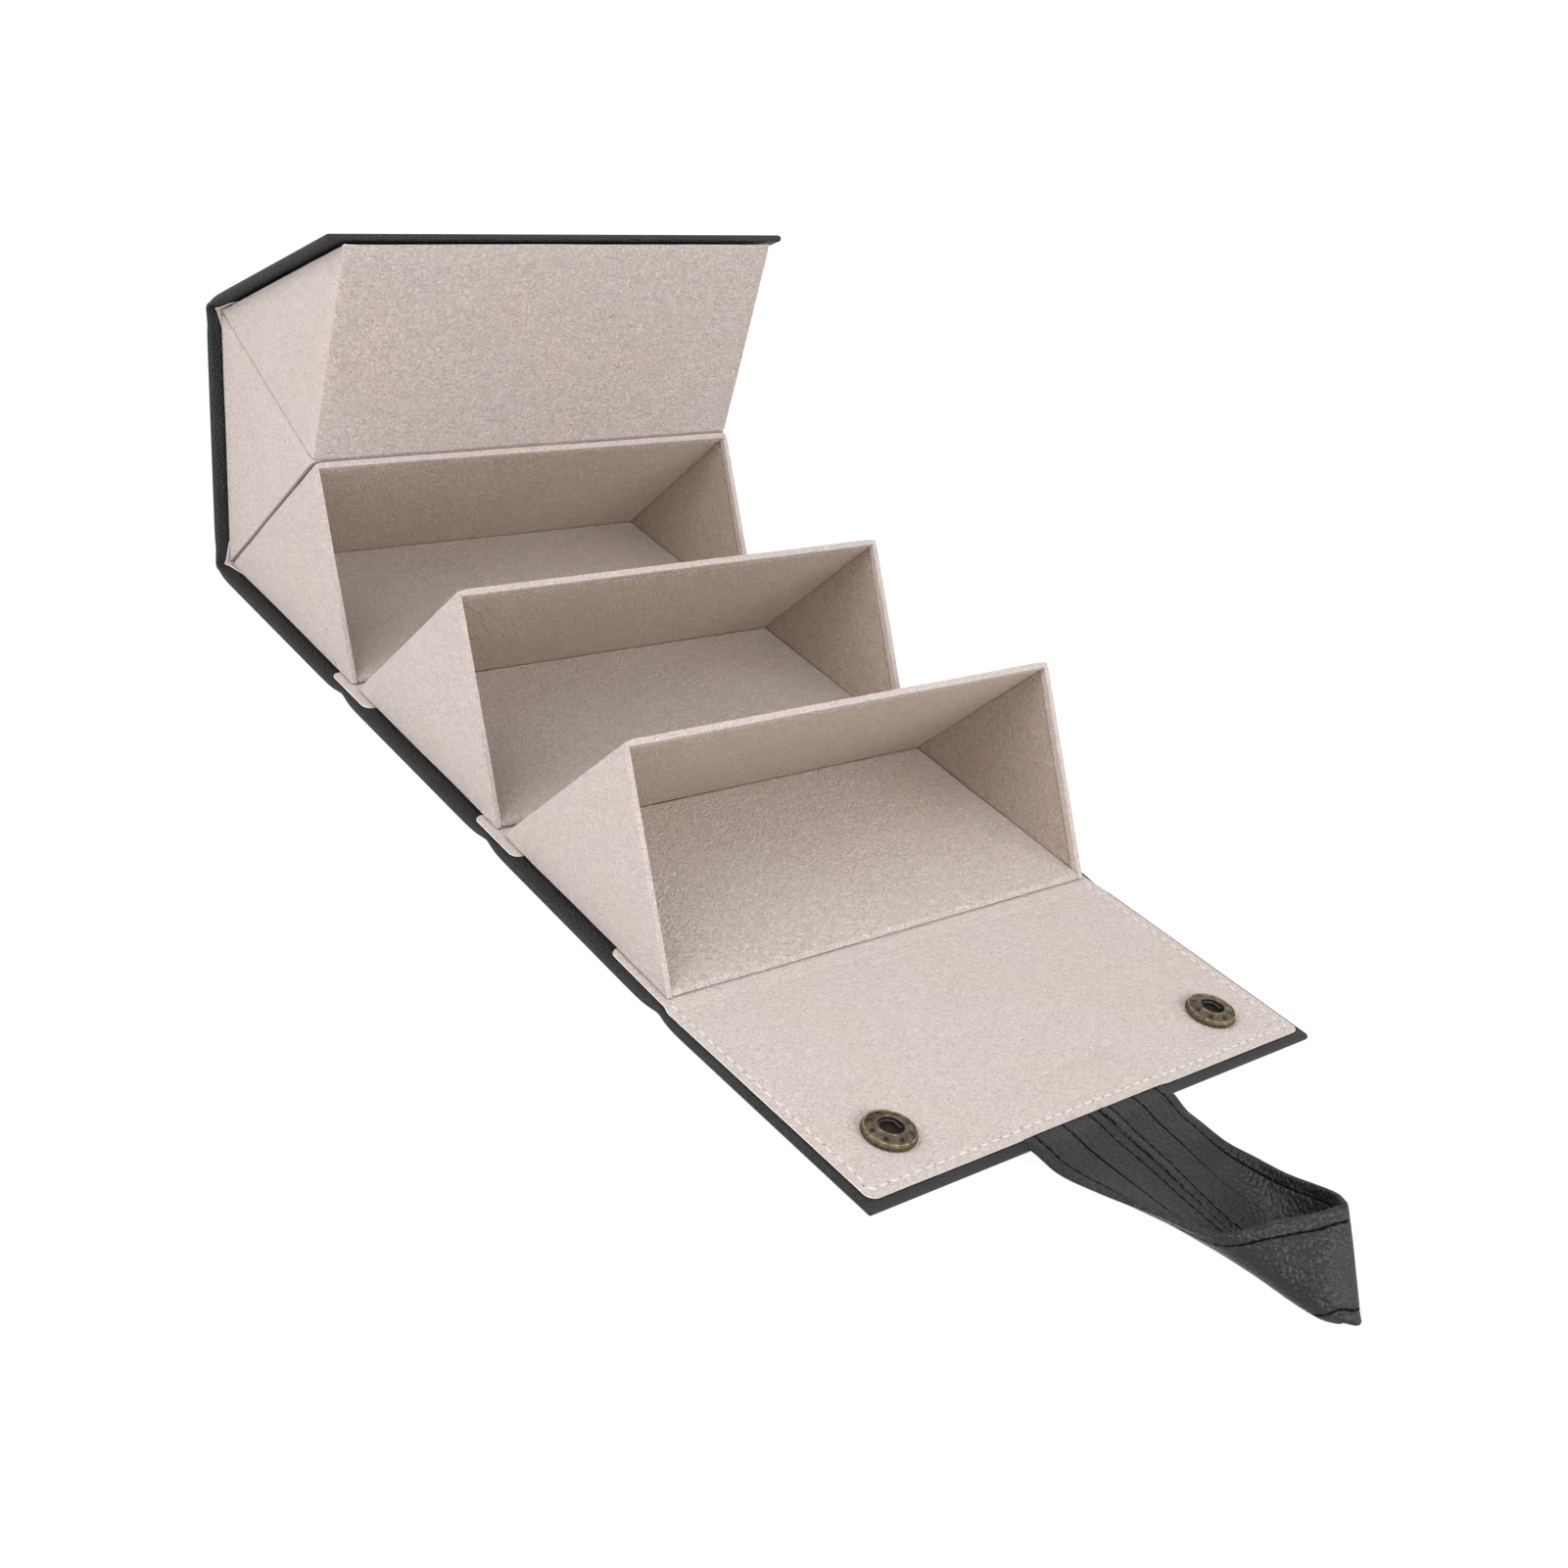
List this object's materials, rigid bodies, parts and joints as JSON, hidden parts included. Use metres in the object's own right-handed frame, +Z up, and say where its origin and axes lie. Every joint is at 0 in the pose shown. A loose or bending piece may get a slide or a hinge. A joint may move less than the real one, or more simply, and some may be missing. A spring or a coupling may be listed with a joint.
{
  "type": "sunglasses storage box",
  "caption": "Roll-up eyewear box: open suede-lined triangular trays hinged in a row on one leather-covered panel strip, with a snap flap and a strap handle.",
  "frame": {"origin": "middle of the box's footprint as it stands in the picture, on the surface that it stands on", "axes": "+Z up, +Y from the flap and its strap towards the rolled-up trays, +X along the trays' length, to the right seen from the flap"},
  "size_m": [0.175, 0.4416, 0.1307],
  "materials": {
    "suede": "beige microsuede, matt, short nap",
    "black_leather": "black grained leather-like cover, low sheen",
    "stiff_board": "grey-brown fibreboard",
    "antique_brass": "antique brass with dark patina",
    "spring_steel": "drawn steel wire"
  },
  "bodies": {
    "panel_c": {"tray_c_floor": "suede", "tray_c_back_wall": "suede", "tray_c_left_end": "suede", "tray_c_right_end": "suede", "cover_board_c": "stiff_board", "cover_skin_c": "black_leather", "hinge_strip_bc_on_c": "suede", "hinge_strip_cd_on_c": "suede"},
    "panel_b": {"tray_b_floor": "suede", "tray_b_back_wall": "suede", "tray_b_left_end": "suede", "tray_b_right_end": "suede", "cover_board_b": "stiff_board", "cover_skin_b": "black_leather", "hinge_strip_ab_on_b": "suede", "hinge_strip_bc_on_b": "suede"},
    "panel_a": {"tray_a_floor": "suede", "tray_a_back_wall": "suede", "tray_a_left_end": "suede", "tray_a_right_end": "suede", "cover_board_a": "stiff_board", "cover_skin_a": "black_leather", "hinge_strip_ab_on_a": "suede", "snap_stud_left": "antique_brass", "snap_stud_right": "antique_brass", "stud_rivet_left": "antique_brass", "stud_rivet_right": "antique_brass"},
    "panel_d": {"tray_d_floor": "suede", "tray_d_back_wall": "suede", "tray_d_left_end": "suede", "tray_d_right_end": "suede", "cover_board_d": "stiff_board", "cover_skin_d": "black_leather", "hinge_strip_cd_on_d": "suede", "hinge_strip_de_on_d": "suede"},
    "panel_e": {"tray_e_floor": "suede", "tray_e_back_wall": "suede", "tray_e_left_end": "suede", "tray_e_right_end": "suede", "cover_board_e": "stiff_board", "cover_skin_e": "black_leather", "hinge_strip_de_on_e": "suede", "flap_lining_tongue": "suede"},
    "flap": {"cover_board_flap": "stiff_board", "cover_skin_flap": "black_leather", "flap_lining": "suede", "handle_root_left": "black_leather", "handle_root_right": "black_leather", "snap_cap_left": "antique_brass", "snap_cap_right": "antique_brass", "snap_socket_left": "antique_brass", "snap_socket_right": "antique_brass", "snap_spring_left": "spring_steel", "snap_spring_right": "spring_steel"},
    "handle": {"handle_loop": "black_leather"}
  },
  "joints": [
    {"name": "hinge_bc", "type": "hinge", "parent": "panel_c", "child": "panel_b", "pos_m": [0, 0.19319, 0.0024], "axis": [1, 0, 0], "range_deg": [-72, 0]},
    {"name": "hinge_ab", "type": "hinge", "parent": "panel_b", "child": "panel_a", "pos_m": [0, 0.21878, 0.08115], "axis": [1, 0, 0], "range_deg": [-72, 0]},
    {"name": "hinge_cd", "type": "hinge", "parent": "panel_c", "child": "panel_d", "pos_m": [0, 0.11039, 0.0024], "axis": [-1, 0, 0], "range_deg": [0, 72]},
    {"name": "hinge_de", "type": "hinge", "parent": "panel_d", "child": "panel_e", "pos_m": [0, 0.02759, 0.0024], "axis": [-1, 0, 0], "range_deg": [0, 72]},
    {"name": "hinge_flap", "type": "hinge", "parent": "panel_e", "child": "flap", "pos_m": [0, -0.05901, 0.0024], "axis": [-1, 0, 0], "range_deg": [-2.8, 65.51]},
    {"name": "handle_flex", "type": "hinge", "parent": "flap", "child": "handle", "pos_m": [0, -0.14306, 0.00553], "axis": [-1, 0, 0], "range_deg": [-45, 45]}
  ]
}
